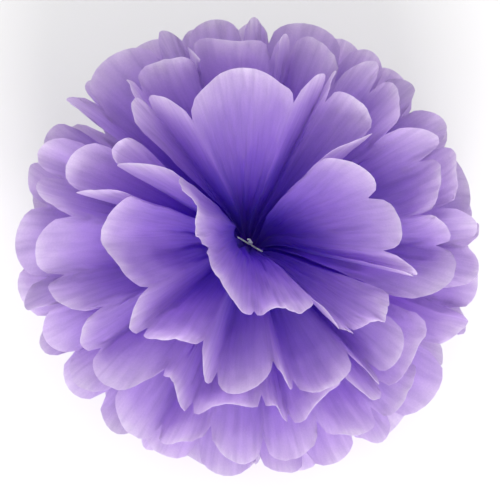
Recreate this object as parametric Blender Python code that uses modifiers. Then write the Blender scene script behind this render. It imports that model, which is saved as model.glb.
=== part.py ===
"""Tissue paper pom pom: a stack of thin paper sheets, folded like an accordion, tied at the waist with a
twisted wire, cut round at both ends and opened out into a ball of petals.

The origin is the middle of the tie. +Z runs through the open heart of the flower, and the folded strip ran
along X, so each sheet has one fan of petals on the +X side and one on the -X side.
"""

import bisect
import math
import random

import bmesh
import bpy
from mathutils import Vector

# Driving dimensions, in metres
SHEETS = 8  # paper layers in the stack
PANELS = 12  # accordion panels across each sheet, an even number
PANEL_WIDTH = 0.0423  # from one fold to the next
REACH = 0.122  # from the bend beside the tie to a petal's tip
CUT_DEPTH = 0.016  # how far the rounded cut goes back at a fold
PAPER = 0.0003
SHEET_GAP = 0.0008  # between neighbouring sheets under the tie
WAIST_WIDTH = 0.014  # the gathered folds under the tie, across the strip
WAIST_PLEAT = 0.0006  # half the height of the gathered folds
TIE_LAND = 0.002  # from the tie's plane to the first bend
WIRE_RADIUS = 0.0005
WIRE_CLEARANCE = 0.0003
TWIST_HEIGHT = 0.005
TWIST_TURNS = 1.5
TWIST_STEPS = 8  # points in each turn of the twist
TWIST_SPLAY = 0.0016  # how far the wire's two cut ends stand from the twist's axis
STRAND_RADIUS = 1.08 * WIRE_RADIUS  # from the twist's axis to each strand's middle
SHOULDER = 1.2 * WIRE_RADIUS  # from a strand's middle to where the wire turns down round the waist
CORNER_STEPS = 3  # straight lengths in each corner round the waist

# How the petals stand, in degrees
HEART_ANGLE = 57.0  # elevation of the outermost sheets at their tips
HEART_LEAN = 10.0  # how much steeper the upper sheets stand on one side of the heart
LEAN_AZIMUTH = 120.0  # that side, from +X towards +Y
HALF_GAP = 4.0  # between the two fans of a sheet
GAP_STAGGER = 5.0  # how far that gap turns from sheet to sheet
SHEET_ANGLE = 2 * HEART_ANGLE / (SHEETS - 1)  # from one sheet to the next
SWAY_PHASE = 70.0

# The sheets round the heart were opened by hand into broad petals. These are their folds, by sheet and side
# of the tie, in order across the strip: azimuth from +X towards +Y, and elevation at the rim.
OPENED_FOLDS = {
    (0, 1): (
        (-88, 48),
        (-86, 42),
        (-83, 48),
        (-61, 56),
        (-39, 75),
        (-32, 52),
        (-5, 55),
        (-2, 50),
        (2, 62),
        (36, 60),
        (74, 69),
        (80, 54),
        (95, 60),
    ),
    (0, -1): (
        (268, 46),
        (258, 45),
        (248, 44),
        (245, 46),
        (242, 56),
        (229, 57),
        (215, 57),
        (199, 62),
        (184, 67),
        (162, 76),
        (116, 75),
        (112, 54),
        (97, 59),
    ),
    (1, -1): (
        (264, 36),
        (249, 27),
        (246, 36),
        (224, 32),
        (221, 41),
        (200, 34),
        (196, 45),
        (173, 38),
        (168, 50),
        (142, 50),
        (126, 61),
        (120, 40),
        (100, 47),
    ),
}
# Of those, the folds that are opened flat, so that the panels on their two sides read as one petal
FLAT_FOLDS = {(0, 1): (9,), (0, -1): (1, 5, 7, 9), (1, -1): (9,)}

# Shares of the angle between two sheets
PLEAT_SHARE = 0.45  # half the height of a fold
CURL_SHARE = 0.17  # the hollow of a panel at its rim
SWAY_SHARE = 0.06  # slow waves round a whole fan
TILT_SHARE = 0.14  # how far single petals stand in or out

# Shares of the reach
FREE_SHARE = 0.35  # where the folds have left the even order of the waist
CURL_START = 0.35  # where a panel begins to hollow
FAN_ROWS = ((0.0, 1), (0.12, 1), (0.42, 2), (0.58, 2), (0.74, 2))  # each with its points per panel
RIM_COLUMNS = 6

STEEPENING = 0.8  # how much steeper a level petal would leave the waist than it ends
WIDEST_PANEL = 1.25  # in pairs of folds, for the panels that face out
EVEN_PANEL = 0.56  # in pairs of folds, for those panels in a level sheet
CROWDED_ANGLE = 40.0  # elevation from which the panels that face out are at their widest
FOLD_DRIFT = 0.14  # in pairs of folds, to either side
SHALLOWEST_FOLD = 0.5
FOLD_ROUNDING = 0.28  # in panels, to either side of a fold at the rim

SHEET_PITCH = PAPER + SHEET_GAP
WAIST_HALF_HEIGHT = (SHEETS - 1) / 2 * SHEET_PITCH + WAIST_PLEAT + PAPER / 2

LAVENDER = (0.36, 0.20, 0.64, 1.0)
WHITE = (0.85, 0.85, 0.88, 1.0)


def material(name, colour, roughness):
    made = bpy.data.materials.new(name)
    made.use_nodes = True
    shader = made.node_tree.nodes["Principled BSDF"]
    shader.inputs["Base Color"].default_value = colour
    shader.inputs["Roughness"].default_value = roughness
    return made


def mix(first, second, share):
    return first * (1 - share) + second * share


def sheet_elevation(sheet):
    """The angle above the waist's plane at which a sheet's petals end. Sheet 0 is the top one."""
    return HEART_ANGLE - SHEET_ANGLE * sheet


def bend_distance(sheet):
    """How far from the tie's plane a sheet bends. Outer sheets of the stack bend first, so that the sheets
    beneath have room to bend round them."""
    layers_outside = min(sheet, SHEETS - 1 - sheet)
    return TIE_LAND + sum(
        SHEET_PITCH * max(math.tan(math.radians(sheet_elevation(layer)) / 2), 0.5)
        for layer in range(layers_outside)
    )


class Fan:
    """One half of a sheet: the folds that spread from the waist on one side of the tie."""

    def __init__(self, sheet, side):
        self.opened = OPENED_FOLDS.get((sheet, side))
        self.side = side
        self.elevation = sheet_elevation(sheet)
        self.bend = bend_distance(sheet)
        self.level = ((SHEETS - 1) / 2 - sheet) * SHEET_PITCH
        chance = random.Random(100 * sheet + (7 if side > 0 else 31))
        turned = GAP_STAGGER * side * (-1) ** sheet
        self.azimuths, self.heights = self.folds(turned, chance)
        self.tilts = [SHEET_ANGLE * TILT_SHARE * chance.uniform(-1, 1) for _ in range(PANELS + 1)]
        self.curls = [SHEET_ANGLE * CURL_SHARE * chance.uniform(-1, 1) for _ in range(PANELS)]
        self.sway = [SHEET_ANGLE * SWAY_SHARE * chance.uniform(-1, 1) for _ in range(3)]
        self.petal_ends = list(range(PANELS + 1))
        if self.opened:
            self.azimuths, self.heights = self.opened_folds()
            self.tilts = [0] * (PANELS + 1)
            for fold in FLAT_FOLDS[sheet, side]:
                self.curls[fold - 1] = self.curls[fold] = 0
                self.petal_ends.remove(fold)

    def folds(self, turned, chance):
        """Each fold's azimuth in degrees and height from -1 to 1. Folds go up and down in turn. A panel
        that faces out is wide, and the next turns back beneath it where the ring is too small for both."""
        pair = (180 - HALF_GAP) / (PANELS / 2)
        ring = REACH * math.cos(math.radians(self.elevation))
        widest = min(math.degrees(PANEL_WIDTH / ring), WIDEST_PANEL * pair)
        wide = mix(EVEN_PANEL * pair, widest, min(abs(self.elevation) / CROWDED_ANGLE, 1))
        azimuths, heights = [], []
        for fold in range(PANELS + 1):
            azimuth = turned - 90 + HALF_GAP / 2 + fold // 2 * pair + (wide if fold % 2 else 0)
            if 0 < fold < PANELS:
                azimuth += FOLD_DRIFT * pair * chance.uniform(-1, 1)
            azimuths.append(azimuth)
            heights.append((-1) ** fold * chance.uniform(SHALLOWEST_FOLD, 1))
        return azimuths, heights

    def opened_folds(self):
        azimuths = [self.turned_round(azimuth) for azimuth, _ in self.opened]
        heights = [(rim - self.elevation) / (SHEET_ANGLE * PLEAT_SHARE) for _, rim in self.opened]
        return azimuths, heights

    def turned_round(self, azimuth):
        """Turns an azimuth counted from the middle of the fan into one from +X, or back again."""
        return azimuth if self.side > 0 else 180 - azimuth

    def rounded(self, values, across, share):
        """A value given at each fold, read between the folds. The nearer the rim, the rounder the folds."""
        panel = min(int(across), PANELS - 1)
        fold = round(across)
        bend = FOLD_ROUNDING * share
        if fold in (0, PANELS) or abs(across - fold) >= bend:
            return mix(values[panel], values[panel + 1], across - panel)
        before = mix(values[fold], values[fold - 1], bend)
        after = mix(values[fold], values[fold + 1], bend)
        part = (across - fold + bend) / (2 * bend)
        return mix(mix(before, values[fold], part), mix(values[fold], after, part), part)

    def elevation_at(self, azimuth, share):
        """The sheet's elevation in degrees without its folds."""
        outer = max(self.elevation, 0) ** 2 / HEART_ANGLE**2
        lean_share = 0 if self.opened else math.cos(math.radians(self.turned_round(azimuth) - LEAN_AZIMUTH))
        sway = share * sum(
            amount * math.sin(math.radians((wave + 1) * azimuth + SWAY_PHASE * wave))
            for wave, amount in enumerate(self.sway)
        )
        steeper = STEEPENING * (1 - abs(self.elevation) / 90) * (1 - share) ** 2
        return self.elevation * (1 + steeper) + HEART_LEAN * outer * lean_share + sway

    def point(self, across, share):
        """The sheet's middle surface at a place in panels across the fan and a share of the reach."""
        panel = min(int(across), PANELS - 1)
        part = across - panel
        zigzag = 1 - 2 * abs((across + 1) % 2 - 1)
        free = min(share / FREE_SHARE, 1)
        even_azimuth = 180 * (across / PANELS - 0.5)
        azimuth = mix(even_azimuth, self.rounded(self.azimuths, across, share), free)
        height = mix(zigzag, self.rounded(self.heights, across, share), free)
        hollow = math.sin(math.pi * part) * max(share - CURL_START, 0) / (1 - CURL_START)
        tilt = self.rounded(self.tilts, across, share) * free
        folded = SHEET_ANGLE * PLEAT_SHARE * height + tilt + self.curls[panel] * hollow
        elevation = math.radians(self.elevation_at(azimuth, share) + folded)
        turn = math.radians(azimuth)
        along = REACH * share
        return Vector(
            (
                self.side * (self.bend + along * math.cos(elevation) * math.cos(turn)),
                WAIST_WIDTH * (across / PANELS - 0.5) + along * math.cos(elevation) * math.sin(turn),
                self.level + WAIST_PLEAT * zigzag + along * math.sin(elevation),
            )
        )

    def rim_share(self, across):
        """The share of the reach at which the round cut leaves the paper."""
        petal = min(bisect.bisect_right(self.petal_ends, across), len(self.petal_ends) - 1)
        start, end = self.petal_ends[petal - 1:petal + 1]
        from_middle = 2 * (across - start) / (end - start) - 1
        return 1 - CUT_DEPTH / REACH * (1 - math.sqrt(max(1 - from_middle**2, 0)))

    def rows(self):
        """Rows of (place across, point), from the bend out to the scalloped rim."""
        rows = []
        for share, columns in FAN_ROWS:
            places = [step / columns for step in range(columns * PANELS + 1)]
            rows.append([(across, self.point(across, share)) for across in places])
        places = [step / RIM_COLUMNS for step in range(RIM_COLUMNS * PANELS + 1)]
        rows.append([(across, self.point(across, self.rim_share(across))) for across in places])
        return rows


def stitch(mesh, near, far):
    """Fills the strip between two rows of (place across, vertex) whose counts may differ."""
    first, second = 0, 0
    while first < len(near) - 1 or second < len(far) - 1:
        near_next = near[first + 1][0] if first < len(near) - 1 else math.inf
        far_next = far[second + 1][0] if second < len(far) - 1 else math.inf
        if near_next <= far_next + 1e-9:
            mesh.faces.new((near[first][1], far[second][1], near[first + 1][1]))
            first += 1
        else:
            mesh.faces.new((near[first][1], far[second][1], far[second + 1][1]))
            second += 1


def tissue_sheet(sheet, collection, paper):
    """One folded sheet, as an open surface from rim to rim that Solidify gives the paper's thickness."""
    left, right = Fan(sheet, -1).rows(), Fan(sheet, 1).rows()
    mesh = bmesh.new()
    rows = [
        [(across, mesh.verts.new(point)) for across, point in row]
        for row in list(reversed(left)) + right
    ]
    for near, far in zip(rows, rows[1:]):
        stitch(mesh, near, far)
    bmesh.ops.recalc_face_normals(mesh, faces=mesh.faces)
    data = bpy.data.meshes.new(f"tissue_sheet_{sheet + 1}")
    mesh.to_mesh(data)
    mesh.free()
    data.shade_smooth()
    data.set_sharp_from_angle(angle=math.radians(40))
    data.materials.append(paper)
    made = bpy.data.objects.new(f"tissue_sheet_{sheet + 1}", data)
    collection.objects.link(made)
    thickness = made.modifiers.new("paper thickness", "SOLIDIFY")
    thickness.thickness = PAPER
    thickness.offset = 0
    return made


def wire_path():
    """The tie's centreline: down one strand of the twist, round the waist, and up the other strand."""
    corner = WIRE_CLEARANCE + WIRE_RADIUS
    half_width = WAIST_WIDTH / 2 + PAPER / 2
    loop_top = WAIST_HALF_HEIGHT + corner
    twist_base = loop_top + 2 * WIRE_RADIUS
    steps = round(TWIST_TURNS * TWIST_STEPS)
    first_strand = []
    for step in range(steps + 1):
        angle = math.radians(90) + 2 * math.pi * TWIST_TURNS * step / steps
        height = twist_base + TWIST_HEIGHT * step / steps
        splay = max(step - steps + 2, 0) / 2
        spread = mix(STRAND_RADIUS, TWIST_SPLAY, splay)
        first_strand.append(Vector((spread * math.cos(angle), spread * math.sin(angle), height)))
    half_loop = [Vector((0, STRAND_RADIUS + SHOULDER, loop_top))]
    for quarter, side_z in enumerate((WAIST_HALF_HEIGHT, -WAIST_HALF_HEIGHT)):
        for step in range(CORNER_STEPS + 1):
            angle = math.radians(90 - 90 * quarter - 90 * step / CORNER_STEPS)
            half_loop.append(
                Vector((0, half_width + corner * math.cos(angle), side_z + corner * math.sin(angle)))
            )
    one_half = list(reversed(first_strand)) + half_loop
    other_half = [Vector((-p.x, -p.y, p.z)) for p in reversed(one_half)]
    return one_half + other_half


def tie_wire(collection, metal):
    """The wire that gathers the waist, with its ends twisted together in the heart."""
    curve = bpy.data.curves.new("tie_wire", "CURVE")
    curve.dimensions = "3D"
    curve.bevel_depth = WIRE_RADIUS
    curve.bevel_resolution = 1
    curve.use_fill_caps = True
    path = wire_path()
    spline = curve.splines.new("POLY")
    spline.points.add(len(path) - 1)
    for spline_point, place in zip(spline.points, path):
        spline_point.co = (*place, 1)
    curve.materials.append(metal)
    made = bpy.data.objects.new("tie_wire", curve)
    collection.objects.link(made)
    return made


def main():
    for old in list(bpy.data.objects):
        bpy.data.objects.remove(old)
    collection = bpy.data.collections.new("tissue_pom_pom")
    bpy.context.scene.collection.children.link(collection)
    paper = material("lavender_tissue", LAVENDER, 0.9)
    metal = material("white_wire", WHITE, 0.45)
    for sheet in range(SHEETS):
        tissue_sheet(sheet, collection, paper)
    tie_wire(collection, metal)


main()
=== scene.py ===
"""Looks of the tissue paper pom pom: eight crinkled, translucent sheets opened out from a white wire tie."""

import math
import random

import bpy
import numpy as np
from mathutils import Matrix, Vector


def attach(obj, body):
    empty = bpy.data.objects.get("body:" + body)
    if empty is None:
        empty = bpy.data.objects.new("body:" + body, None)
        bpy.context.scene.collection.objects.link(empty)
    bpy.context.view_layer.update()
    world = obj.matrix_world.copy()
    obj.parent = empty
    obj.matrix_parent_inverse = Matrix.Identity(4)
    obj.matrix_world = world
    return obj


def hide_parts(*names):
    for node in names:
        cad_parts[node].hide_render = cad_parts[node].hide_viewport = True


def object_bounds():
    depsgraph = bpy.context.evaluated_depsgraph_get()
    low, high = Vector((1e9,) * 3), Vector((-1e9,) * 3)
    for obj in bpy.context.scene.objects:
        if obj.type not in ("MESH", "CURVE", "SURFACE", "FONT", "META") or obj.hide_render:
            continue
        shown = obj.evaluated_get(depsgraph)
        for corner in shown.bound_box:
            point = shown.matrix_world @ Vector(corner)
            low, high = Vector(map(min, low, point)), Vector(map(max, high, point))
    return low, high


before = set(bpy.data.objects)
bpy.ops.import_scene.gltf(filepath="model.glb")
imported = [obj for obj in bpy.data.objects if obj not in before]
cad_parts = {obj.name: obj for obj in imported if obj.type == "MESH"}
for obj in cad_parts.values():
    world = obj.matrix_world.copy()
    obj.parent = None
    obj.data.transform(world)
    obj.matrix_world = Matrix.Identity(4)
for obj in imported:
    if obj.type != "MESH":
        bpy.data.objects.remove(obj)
cad_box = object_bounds()

# The solids' own sizes and angles, in metres and degrees
SHEETS = 8
PANELS = 12
PANEL_WIDTH = 0.0423
REACH = 0.122
CUT_DEPTH = 0.016
PAPER = 0.0003
SHEET_GAP = 0.0008
WAIST_WIDTH = 0.014
WAIST_PLEAT = 0.0006
TIE_LAND = 0.002
HEART_ANGLE = 57.0
HEART_LEAN = 10.0
LEAN_AZIMUTH = 120.0
HALF_GAP = 4.0
GAP_STAGGER = 5.0
SHEET_ANGLE = 2 * HEART_ANGLE / (SHEETS - 1)
SWAY_PHASE = 70.0
OPENED_FOLDS = {
    (0, 1): (
        (-88, 48),
        (-86, 42),
        (-83, 48),
        (-61, 56),
        (-39, 75),
        (-32, 52),
        (-5, 55),
        (-2, 50),
        (2, 62),
        (36, 60),
        (74, 69),
        (80, 54),
        (95, 60),
    ),
    (0, -1): (
        (268, 46),
        (258, 45),
        (248, 44),
        (245, 46),
        (242, 56),
        (229, 57),
        (215, 57),
        (199, 62),
        (184, 67),
        (162, 76),
        (116, 75),
        (112, 54),
        (97, 59),
    ),
    (1, -1): (
        (264, 36),
        (249, 27),
        (246, 36),
        (224, 32),
        (221, 41),
        (200, 34),
        (196, 45),
        (173, 38),
        (168, 50),
        (142, 50),
        (126, 61),
        (120, 40),
        (100, 47),
    ),
}
FLAT_FOLDS = {(0, 1): (9,), (0, -1): (1, 5, 7, 9), (1, -1): (9,)}
PLEAT_SHARE = 0.45
CURL_SHARE = 0.17
SWAY_SHARE = 0.06
TILT_SHARE = 0.14
FREE_SHARE = 0.35
CURL_START = 0.35
STEEPENING = 0.8
WIDEST_PANEL = 1.25
EVEN_PANEL = 0.56
CROWDED_ANGLE = 40.0
FOLD_DRIFT = 0.14
SHALLOWEST_FOLD = 0.5
FOLD_ROUNDING = 0.28
SHEET_PITCH = PAPER + SHEET_GAP
WAIST_HALF_HEIGHT = (SHEETS - 1) / 2 * SHEET_PITCH + WAIST_PLEAT + PAPER / 2

# What the fine sheets add to the solids
TISSUE = 0.00012  # shown thickness
TINY = 1e-12  # keeps a normal from being divided by nothing
UPPER_GRID = (12, 34)  # points across a panel, and from the waist to the rim
LOWER_GRID = (8, 22)
ROW_CROWDING = 0.9  # below 1, rows stand closer together towards the rim
SHARP_ANGLE = 75.0
RIM_START = 0.72  # the share of the reach where a petal's end begins to curl
RIM_CURL = 9.0
MOST_CURL_BACK = 0.7  # the share of it that a petal may curl the other way
OPENED_CURL = 0.25  # the share of it on the petals opened by hand
PETAL_SHRINK = 0.025  # the share of its reach that a petal may lose as it curls

# Small waves in the paper: their height, then their longest and shortest wave and how many there are
CRUMPLE = 0.0008
CRUMPLE_WAVES = (0.045, 0.009, 22)
CREASE = 0.0007
CREASE_WAVES = (0.012, 0.004, 9)
CREASE_STRETCH = 9.0  # how much longer they are along the folds
CREASE_FADE = 0.5  # the share of their height lost at the rim
RIM_WAVE = 0.0006
RIM_WAVES = (0.022, 0.007, 7)
RIM_WAVE_STRETCH = 3.0
WAVE_FALL = 0.7  # how fast shorter waves get lower
OPENED_CRUMPLE = 0.5  # the share of all of them on the petals opened by hand

# Old folds that still show on the opened petals, by sheet and side: the fold, its height, half its width in
# panels, and the share of the reach where it stands highest
OLD_FOLDS = {
    (0, 1): ((9, 0.005, 0.4, 0.4), (5, 0.003, 0.5, 0.5), (3, 0.004, 0.4, 0.4)),
    (0, -1): ((6, -0.0065, 0.9, 0.95),),
    (1, -1): ((9, 0.003, 0.3, 0.5),),
}
OLD_FOLD_LENGTH = 0.3  # how soon an old fold fades along the reach

# Where a sheet's two faces and its cut edge lie on its flat map, which is 1 wide and 1 high
MAP_MARGIN = 0.005
FACE_MAP_HEIGHT = 0.475
FACE_MAP_LOWS = (0.02, 0.51)
EDGE_MAP_LINES = 4
EDGE_MAP_PITCH = 0.005
EDGE_MAP_LOW, EDGE_MAP_HEIGHT = 0.3, 0.5  # the place and height of the edge in its line, in pitches
PATTERN_STEP = 0.31  # how far the paper's pattern moves on from sheet to sheet

# The photo's view
CAMERA_AZIMUTH = -58.0
CAMERA_ELEVATION = 72.0
CAMERA_DISTANCE = 1.6
VIEW_WIDTH = 0.27  # what the picture spans at the ball

# The studio
KEY_ENERGY = 14.0
KEY_SIZE = 0.5
KEY_RIGHT, KEY_UP, KEY_HEIGHT = 0.1, -1.1, 0.75  # from the ball: to the picture's right and top, and above it
KEY_COLOUR = (1.0, 0.98, 0.97)
FLOOR_SIZE = 40.0
FLOOR_GAP = 0.002


def mix(first, second, share):
    return first * (1 - share) + second * share


def sheet_elevation(sheet):
    return HEART_ANGLE - SHEET_ANGLE * sheet


def bend_distance(sheet):
    layers_outside = min(sheet, SHEETS - 1 - sheet)
    return TIE_LAND + sum(
        SHEET_PITCH * max(math.tan(math.radians(sheet_elevation(layer)) / 2), 0.5)
        for layer in range(layers_outside)
    )


class Ripple:
    """A smooth seeded pattern on the flat sheet, as a sum of waves in many directions."""

    def __init__(self, chance, waves, stretch=1.0):
        longest, shortest, count = waves
        self.waves = []
        for step in range(count):
            length = longest * (shortest / longest) ** (step / (count - 1))
            turn = chance.uniform(0, 2 * math.pi)
            self.waves.append(
                (
                    2 * math.pi / length * math.cos(turn),
                    2 * math.pi / length * math.sin(turn) / stretch,
                    chance.uniform(0, 2 * math.pi),
                    (length / longest) ** WAVE_FALL,
                )
            )
        self.total = math.sqrt(sum(wave[3] ** 2 for wave in self.waves) / 2)

    def __call__(self, u, v):
        return sum(size * np.sin(a * u + b * v + phase) for a, b, phase, size in self.waves) / self.total


class Fan:
    """One half of a sheet: the folds that spread from the waist on one side of the tie."""

    def __init__(self, sheet, side):
        self.opened = OPENED_FOLDS.get((sheet, side))
        self.side = side
        self.elevation = sheet_elevation(sheet)
        self.bend = bend_distance(sheet)
        self.level = ((SHEETS - 1) / 2 - sheet) * SHEET_PITCH
        chance = random.Random(100 * sheet + (7 if side > 0 else 31))
        turned = GAP_STAGGER * side * (-1) ** sheet
        self.azimuths, self.heights = self.folds(turned, chance)
        self.tilts = np.array([SHEET_ANGLE * TILT_SHARE * chance.uniform(-1, 1) for _ in range(PANELS + 1)])
        if self.opened:
            self.azimuths, self.heights = self.opened_folds()
            self.tilts = self.tilts * 0
        self.curls = np.array([SHEET_ANGLE * CURL_SHARE * chance.uniform(-1, 1) for _ in range(PANELS)])
        self.petal_ends = np.arange(PANELS + 1)
        if self.opened:
            flat = np.array(FLAT_FOLDS[sheet, side])
            self.curls[flat - 1] = self.curls[flat] = 0
            self.petal_ends = np.delete(self.petal_ends, flat)
        self.sway = [SHEET_ANGLE * SWAY_SHARE * chance.uniform(-1, 1) for _ in range(3)]
        self.crumple = Ripple(chance, CRUMPLE_WAVES)
        self.creases = Ripple(chance, CREASE_WAVES, CREASE_STRETCH)
        self.rim_wave = Ripple(chance, RIM_WAVES, RIM_WAVE_STRETCH)
        self.rim_curls = np.array([RIM_CURL * chance.uniform(-MOST_CURL_BACK, 1) for _ in range(PANELS)])
        self.crumpled = 1.0
        if self.opened:
            self.rim_curls *= OPENED_CURL
            self.crumpled = OPENED_CRUMPLE
        self.shrinks = np.array([PETAL_SHRINK * chance.uniform(0, 1) for _ in range(PANELS + 1)])
        self.tones = np.array([chance.uniform(0, 1) for _ in range(PANELS)])
        self.old_folds = OLD_FOLDS.get((sheet, side), ())

    def folds(self, turned, chance):
        pair = (180 - HALF_GAP) / (PANELS / 2)
        ring = REACH * math.cos(math.radians(self.elevation))
        wide = min(math.degrees(PANEL_WIDTH / ring), WIDEST_PANEL * pair)
        wide = mix(EVEN_PANEL * pair, wide, min(abs(self.elevation) / CROWDED_ANGLE, 1))
        azimuths, heights = [], []
        for fold in range(PANELS + 1):
            azimuth = turned - 90 + HALF_GAP / 2 + fold // 2 * pair + (wide if fold % 2 else 0)
            if 0 < fold < PANELS:
                azimuth += FOLD_DRIFT * pair * chance.uniform(-1, 1)
            azimuths.append(azimuth)
            heights.append((-1) ** fold * chance.uniform(SHALLOWEST_FOLD, 1))
        return np.array(azimuths), np.array(heights)

    def opened_folds(self):
        azimuths = [self.heading(azimuth) for azimuth, _ in self.opened]
        heights = [(rim - self.elevation) / (SHEET_ANGLE * PLEAT_SHARE) for _, rim in self.opened]
        return np.array(azimuths), np.array(heights)

    def rounded(self, values, across, share):
        """A value given at each fold, read between the folds, which grow rounder towards the rim."""
        panel = np.minimum(across.astype(int), PANELS - 1)
        straight = mix(values[panel], values[panel + 1], across - panel)
        fold = np.clip(np.rint(across).astype(int), 1, PANELS - 1)
        bend = np.maximum(FOLD_ROUNDING * share, 1e-6)
        part = np.clip((across - fold + bend) / (2 * bend), 0, 1)
        before = mix(values[fold], values[fold - 1], bend)
        after = mix(values[fold], values[fold + 1], bend)
        curved = mix(mix(before, values[fold], part), mix(values[fold], after, part), part)
        return np.where(np.abs(across - fold) < bend, curved, straight)

    def heading(self, azimuth):
        return azimuth if self.side > 0 else 180 - azimuth

    def elevation_at(self, azimuth, share):
        heading = self.heading(azimuth)
        outer = max(self.elevation, 0) ** 2 / HEART_ANGLE**2
        lean = 0 if self.opened else HEART_LEAN * outer * np.cos(np.radians(heading - LEAN_AZIMUTH))
        sway = share * sum(
            amount * np.sin(np.radians((wave + 1) * azimuth + SWAY_PHASE * wave))
            for wave, amount in enumerate(self.sway)
        )
        steeper = STEEPENING * (1 - abs(self.elevation) / 90) * (1 - share) ** 2
        return self.elevation * (1 + steeper) + lean + sway

    def folded(self, across, share, zigzag, free, end):
        """How far the folds and curls turn the paper up from the sheet's own elevation, in degrees."""
        panel = np.minimum(across.astype(int), PANELS - 1)
        hollow = np.sin(np.pi * (across - panel))
        outer = np.maximum(share - CURL_START, 0) / (1 - CURL_START)
        height = mix(zigzag, self.rounded(self.heights, across, share), free)
        tilt = self.rounded(self.tilts, across, share) * free
        folds = SHEET_ANGLE * PLEAT_SHARE * height + tilt + self.curls[panel] * hollow * outer
        return folds + self.rim_curls[panel] * end * hollow

    def lift(self, across, share, along, free, end):
        """How far the small waves and the old folds stand off the smooth paper."""
        place = across * PANEL_WIDTH
        waves = CRUMPLE * self.crumple(place, along) * free
        waves = waves + CREASE * self.creases(place, along) * free * (1 - CREASE_FADE * share)
        waves = waves + RIM_WAVE * self.rim_wave(place, along) * end
        lift = waves * self.crumpled
        for fold, height, width, highest in self.old_folds:
            beside = np.maximum(1 - np.abs(across - fold) / width, 0)
            lift = lift + height * beside * np.exp(-(((share - highest) / OLD_FOLD_LENGTH) ** 2)) * free
        return lift

    def surface(self, across, share):
        """Points on the paper, at places across it in panels and at shares of the reach."""
        free = np.minimum(share / FREE_SHARE, 1)
        end = np.clip((share - RIM_START) / (1 - RIM_START), 0, 1) ** 2
        zigzag = 1 - 2 * np.abs((across + 1) % 2 - 1)
        along = REACH * share * (1 - self.rounded(self.shrinks, across, share) * share**2)
        azimuth = mix(180 * (across / PANELS - 0.5), self.rounded(self.azimuths, across, share), free)
        folded = self.folded(across, share, zigzag, free, end)
        elevation = np.radians(self.elevation_at(azimuth, share) + folded)
        lift = self.lift(across, share, along, free, end)
        turn = np.radians(azimuth)
        out = along * np.cos(elevation) - lift * np.sin(elevation)
        x = self.side * (self.bend + out * np.cos(turn))
        y = WAIST_WIDTH * (across / PANELS - 0.5) + out * np.sin(turn)
        z = self.level + WAIST_PLEAT * zigzag + along * np.sin(elevation) + lift * np.cos(elevation)
        return np.stack((x, y, z), axis=-1)

    def rim_share(self, across):
        """The share of the reach at which the round cut leaves the paper."""
        petal = np.searchsorted(self.petal_ends, across, side="right") - 1
        petal = np.clip(petal, 0, len(self.petal_ends) - 2)
        start = self.petal_ends[petal]
        from_middle = 2 * (across - start) / (self.petal_ends[petal + 1] - start) - 1
        return 1 - CUT_DEPTH / REACH * (1 - np.sqrt(np.maximum(1 - from_middle**2, 0)))

    def grid(self, columns, rows):
        """Points, and for each its place across in panels and its share of the reach."""
        across = np.linspace(0, PANELS, PANELS * columns + 1)
        down = np.linspace(0, 1, rows + 1) ** ROW_CROWDING
        across, down = np.meshgrid(across, down)
        share = down * self.rim_share(across)
        return self.surface(across, share), across, share


def sheet_grids(sheet):
    """Points from rim to rim, with each one's place on the flat sheet, its share of the reach and its tone."""
    columns, rows = UPPER_GRID if sheet < SHEETS / 2 else LOWER_GRID
    halves = []
    for side in (-1, 1):
        fan = Fan(sheet, side)
        points, across, share = fan.grid(columns, rows)
        panel = np.minimum(across.astype(int), PANELS - 1)
        layer = np.full_like(share, sheet * PATTERN_STEP)
        flat = np.stack((across * PANEL_WIDTH, side * share * REACH, layer), axis=-1)
        halves.append((points, flat, share, fan.tones[panel]))
    return [np.concatenate((left[::-1], right), axis=0) for left, right in zip(*halves)]


def skin(points):
    """Two faces, the paper's thickness apart, with the cut edge between them. The quads come in that order."""
    down, wide = points.shape[:2]
    normal = np.cross(np.gradient(points, axis=1), np.gradient(points, axis=0))
    normal /= np.linalg.norm(normal, axis=-1, keepdims=True) + TINY
    upper = points + normal * TISSUE / 2
    lower = points - normal * TISSUE / 2
    places = np.concatenate((upper.reshape(-1, 3), lower.reshape(-1, 3)))
    index = np.arange(down * wide).reshape(down, wide)
    quads = np.stack((index[:-1, :-1], index[:-1, 1:], index[1:, 1:], index[1:, :-1]), axis=-1).reshape(-1, 4)
    under = quads[:, ::-1] + down * wide
    border = np.concatenate((index[0, :], index[1:, -1], index[-1, -2::-1], index[-2:0:-1, 0]))
    following = np.roll(border, -1)
    edge = np.stack((following, border, border + down * wide, following + down * wide), axis=-1)
    return places, (quads, under, edge)


def flat_map(flat, quads, edges):
    """The sheet's map: one face below the other as they lie flat, and the cut edge in lines under them."""
    inside = 1 - 2 * MAP_MARGIN
    place = (flat[..., 0] / (PANELS * PANEL_WIDTH), 0.5 + flat[..., 1] / (2 * REACH))
    place = MAP_MARGIN + np.stack(place, axis=-1).reshape(-1, 2) * (inside, FACE_MAP_HEIGHT)
    upper, lower = (place + (0, low) for low in FACE_MAP_LOWS)
    in_line = math.ceil(edges / EDGE_MAP_LINES)
    line, step = np.divmod(np.arange(edges), in_line)
    near = MAP_MARGIN + step / in_line * inside
    far = near + inside / in_line
    low = EDGE_MAP_PITCH * (line + EDGE_MAP_LOW)
    high = low + EDGE_MAP_PITCH * EDGE_MAP_HEIGHT
    edge = np.stack((far, low, near, low, near, high, far, high), axis=-1)
    return np.concatenate((upper[quads].ravel(), lower[quads[:, ::-1]].ravel(), edge.ravel()))


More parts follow.
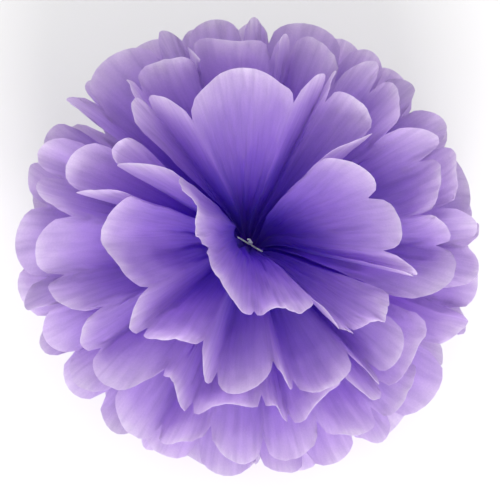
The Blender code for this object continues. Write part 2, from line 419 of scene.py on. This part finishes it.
def sheet_piece(sheet, paper):
    """A sheet's two fans and the strip under the tie, as one thin closed skin."""
    points, flat, share, tone = sheet_grids(sheet)
    places, (quads, under, edge) = skin(points)
    mesh = bpy.data.meshes.new(f"tissue_{sheet + 1}")
    mesh.from_pydata(places.tolist(), [], np.concatenate((quads, under, edge)).tolist())
    mesh.uv_layers.new(name="OFBake").data.foreach_set("uv", flat_map(flat, quads, len(edge)))
    mesh.shade_smooth()
    mesh.set_sharp_from_angle(angle=math.radians(SHARP_ANGLE))
    for name, values in (("reach", share), ("tone", tone)):
        mesh.attributes.new(name, "FLOAT", "POINT").data.foreach_set("value", np.tile(values.ravel(), 2))
    place = mesh.attributes.new("flat", "FLOAT_VECTOR", "POINT")
    place.data.foreach_set("vector", np.tile(flat.reshape(-1, 3), (2, 1)).ravel())
    mesh.materials.append(paper)
    piece = bpy.data.objects.new(f"tissue_{sheet + 1}", mesh)
    bpy.context.scene.collection.objects.link(piece)
    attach(piece, "root")
    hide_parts(f"tissue_sheet_{sheet + 1}")


def linear(red, green, blue):
    """An sRGB colour, 0 to 255, as Blender's linear one."""

    def channel(value):
        value /= 255
        return value / 12.92 if value <= 0.04045 else ((value + 0.055) / 1.055) ** 2.4

    return (channel(red), channel(green), channel(blue), 1.0)


class Nodes:
    """Short calls for building one material's node tree."""

    def __init__(self, name):
        self.material = bpy.data.materials.new(name)
        self.material.use_nodes = True
        self.tree = self.material.node_tree
        self.tree.nodes.clear()

    def add(self, kind, inputs=None, **settings):
        node = self.tree.nodes.new(kind)
        for key, value in settings.items():
            setattr(node, key, value)
        for key, value in (inputs or {}).items():
            if isinstance(value, bpy.types.NodeSocket):
                self.tree.links.new(value, node.inputs[key])
            else:
                node.inputs[key].default_value = value
        return node

    def ramp(self, factor, stops):
        node = self.add("ShaderNodeValToRGB", {"Fac": factor})
        elements = node.color_ramp.elements
        while len(elements) < len(stops):
            elements.new(0.5)
        for element, (place, colour) in zip(elements, stops):
            element.position = place
            element.color = colour
        return node.outputs["Color"]

    def math(self, operation, first, second):
        node = self.add("ShaderNodeMath", operation=operation)
        for socket, value in zip(node.inputs, (first, second)):
            if isinstance(value, bpy.types.NodeSocket):
                self.tree.links.new(value, socket)
            else:
                socket.default_value = value
        return node.outputs[0]

    def blend(self, kind, factor, first, second):
        node = self.add("ShaderNodeMix", data_type="RGBA", blend_type=kind)
        for place, value in ((0, factor), (6, first), (7, second)):
            if isinstance(value, bpy.types.NodeSocket):
                self.tree.links.new(value, node.inputs[place])
            else:
                node.inputs[place].default_value = value
        return node.outputs[2]


def tissue_paper():
    nodes = Nodes("lavender tissue")
    reach = nodes.add("ShaderNodeAttribute", attribute_name="reach").outputs["Fac"]
    tone = nodes.add("ShaderNodeAttribute", attribute_name="tone").outputs["Fac"]
    flat = nodes.add("ShaderNodeAttribute", attribute_name="flat").outputs["Vector"]
    cloud = nodes.add("ShaderNodeTexNoise", {"Vector": flat, "Scale": 42.0, "Detail": 4.0, "Roughness": 0.6})
    fibre = nodes.add("ShaderNodeTexNoise", {"Vector": flat, "Scale": 900.0, "Detail": 3.0, "Roughness": 0.65})
    stretched = nodes.add("ShaderNodeMapping", {"Vector": flat, "Scale": (1.0, 0.13, 1.0)}).outputs[0]
    streak = nodes.add(
        "ShaderNodeTexNoise", {"Vector": stretched, "Scale": 260.0, "Detail": 3.0, "Distortion": 0.4}
    )
    blotches = nodes.math("MULTIPLY", nodes.math("SUBTRACT", cloud.outputs["Fac"], 0.5), 0.16)
    # The colour runs with the reach. The deep violet at the waist is painted shade of the crowded heart, and
    # the near-white rim is painted light let through the single layer of paper
    place = nodes.math("ADD", reach, blotches)
    colour = nodes.ramp(
        place,
        (
            (0.0, linear(127, 50, 236)),
            (0.3, linear(166, 109, 245)),
            (0.6, linear(207, 171, 245)),
            (0.84, linear(225, 203, 246)),
            (0.96, linear(238, 224, 248)),
            (1.0, linear(246, 237, 251)),
        ),
    )
    petal = nodes.ramp(tone, ((0.0, (0.93, 0.93, 0.94, 1)), (1.0, (1.0, 1.0, 1.0, 1))))
    colour = nodes.blend("MULTIPLY", 1.0, colour, petal)
    # Darker along the low lines of the streak bump: the paper's streaky grain, and painted shade in the fine
    # radial creases
    streaks_and_crease_shade = nodes.ramp(streak.outputs["Fac"], ((0.3, (0.84, 0.82, 0.88, 1)), (0.62, (1, 1, 1, 1))))
    colour = nodes.blend("MULTIPLY", 0.7, colour, streaks_and_crease_shade)
    fibres = nodes.ramp(fibre.outputs["Fac"], ((0.35, (0.9, 0.9, 0.93, 1)), (0.65, (1, 1, 1, 1))))
    colour = nodes.blend("MULTIPLY", 0.6, colour, fibres)
    relief = nodes.math("ADD", nodes.math("MULTIPLY", streak.outputs["Fac"], 0.7), cloud.outputs["Fac"])
    relief = nodes.math("ADD", relief, nodes.math("MULTIPLY", fibre.outputs["Fac"], 0.08))
    bump = nodes.add("ShaderNodeBump", {"Strength": 0.35, "Distance": 0.0012, "Height": relief}).outputs[0]
    paper = nodes.add(
        "ShaderNodeBsdfPrincipled",
        {
            "Base Color": colour,
            "Roughness": 0.82,
            "Specular IOR Level": 0.25,
            "Sheen Weight": 0.25,
            "Sheen Roughness": 0.5,
            "Normal": bump,
        },
    )
    through = nodes.add("ShaderNodeBsdfTranslucent", {"Color": colour, "Normal": bump})
    both = nodes.add(
        "ShaderNodeMixShader", {0: 0.75, 1: paper.outputs[0], 2: through.outputs[0]}
    )
    nodes.add("ShaderNodeOutputMaterial", {"Surface": both.outputs[0]})
    return nodes.material


def coated_wire():
    nodes = Nodes("white coated wire")
    place = nodes.add("ShaderNodeTexCoord").outputs["Object"]
    grain = nodes.add("ShaderNodeTexNoise", {"Vector": place, "Scale": 1800.0, "Detail": 2.0})
    colour = nodes.ramp(grain.outputs["Fac"], ((0.3, (0.88, 0.88, 0.9, 1)), (0.7, (0.95, 0.95, 0.96, 1))))
    bump = nodes.add(
        "ShaderNodeBump", {"Strength": 0.2, "Distance": 0.0001, "Height": grain.outputs["Fac"]}
    ).outputs[0]
    coating = nodes.add(
        "ShaderNodeBsdfPrincipled", {"Base Color": colour, "Roughness": 0.4, "Normal": bump}
    )
    nodes.add("ShaderNodeOutputMaterial", {"Surface": coating.outputs[0]})
    return nodes.material


def pale_floor():
    nodes = Nodes("pale floor")
    place = nodes.add("ShaderNodeTexCoord").outputs["Object"]
    grain = nodes.add("ShaderNodeTexNoise", {"Vector": place, "Scale": 6.0, "Detail": 3.0})
    colour = nodes.ramp(grain.outputs["Fac"], ((0.3, (0.87, 0.865, 0.86, 1)), (0.7, (0.88, 0.88, 0.875, 1))))
    matt = nodes.add("ShaderNodeBsdfPrincipled", {"Base Color": colour, "Roughness": 0.9})
    nodes.add("ShaderNodeOutputMaterial", {"Surface": matt.outputs[0]})
    return nodes.material


def area_light(name, energy, size, place, colour):
    light = bpy.data.lights.new(name, "AREA")
    light.energy = energy
    light.size = size
    light.color = colour
    lamp = bpy.data.objects.new(name, light)
    lamp.location = place
    lamp.rotation_euler = Vector(place).to_track_quat("Z", "Y").to_euler()
    bpy.context.scene.collection.objects.link(lamp)


def studio():
    turn = math.radians(CAMERA_AZIMUTH)
    tilt = math.radians(CAMERA_ELEVATION)
    right = Vector((math.cos(turn), math.sin(turn), 0))
    up = Vector((-math.sin(turn), math.cos(turn), 0))
    back = Vector((math.sin(turn) * math.cos(tilt), -math.cos(turn) * math.cos(tilt), math.sin(tilt)))
    camera = bpy.data.objects.new("camera", bpy.data.cameras.new("camera"))
    camera.location = back * CAMERA_DISTANCE
    camera.rotation_euler = back.to_track_quat("Z", "Y").to_euler()
    camera.data.lens = camera.data.sensor_width / VIEW_WIDTH * CAMERA_DISTANCE
    bpy.context.scene.collection.objects.link(camera)
    bpy.context.scene.camera = camera
    key_place = up * KEY_UP + right * KEY_RIGHT + Vector((0, 0, KEY_HEIGHT))
    area_light("key", KEY_ENERGY, KEY_SIZE, key_place, KEY_COLOUR)
    world = bpy.data.worlds.new("studio")
    world.use_nodes = True
    world.node_tree.nodes["Background"].inputs["Color"].default_value = (1.0, 1.0, 1.0, 1.0)
    world.node_tree.nodes["Background"].inputs["Strength"].default_value = 1.0
    bpy.context.scene.world = world
    bpy.context.scene.view_settings.view_transform = "Standard"
    bpy.ops.mesh.primitive_plane_add(size=FLOOR_SIZE, location=(0, 0, cad_box[0][2] - FLOOR_GAP))
    floor = bpy.context.object
    floor.name = "floor"
    floor.data.materials.append(pale_floor())


paper = tissue_paper()
for sheet in range(SHEETS):
    sheet_piece(sheet, paper)
wire = coated_wire()
for slot in bpy.data.objects["tie_wire"].material_slots:
    slot.material = wire
studio()
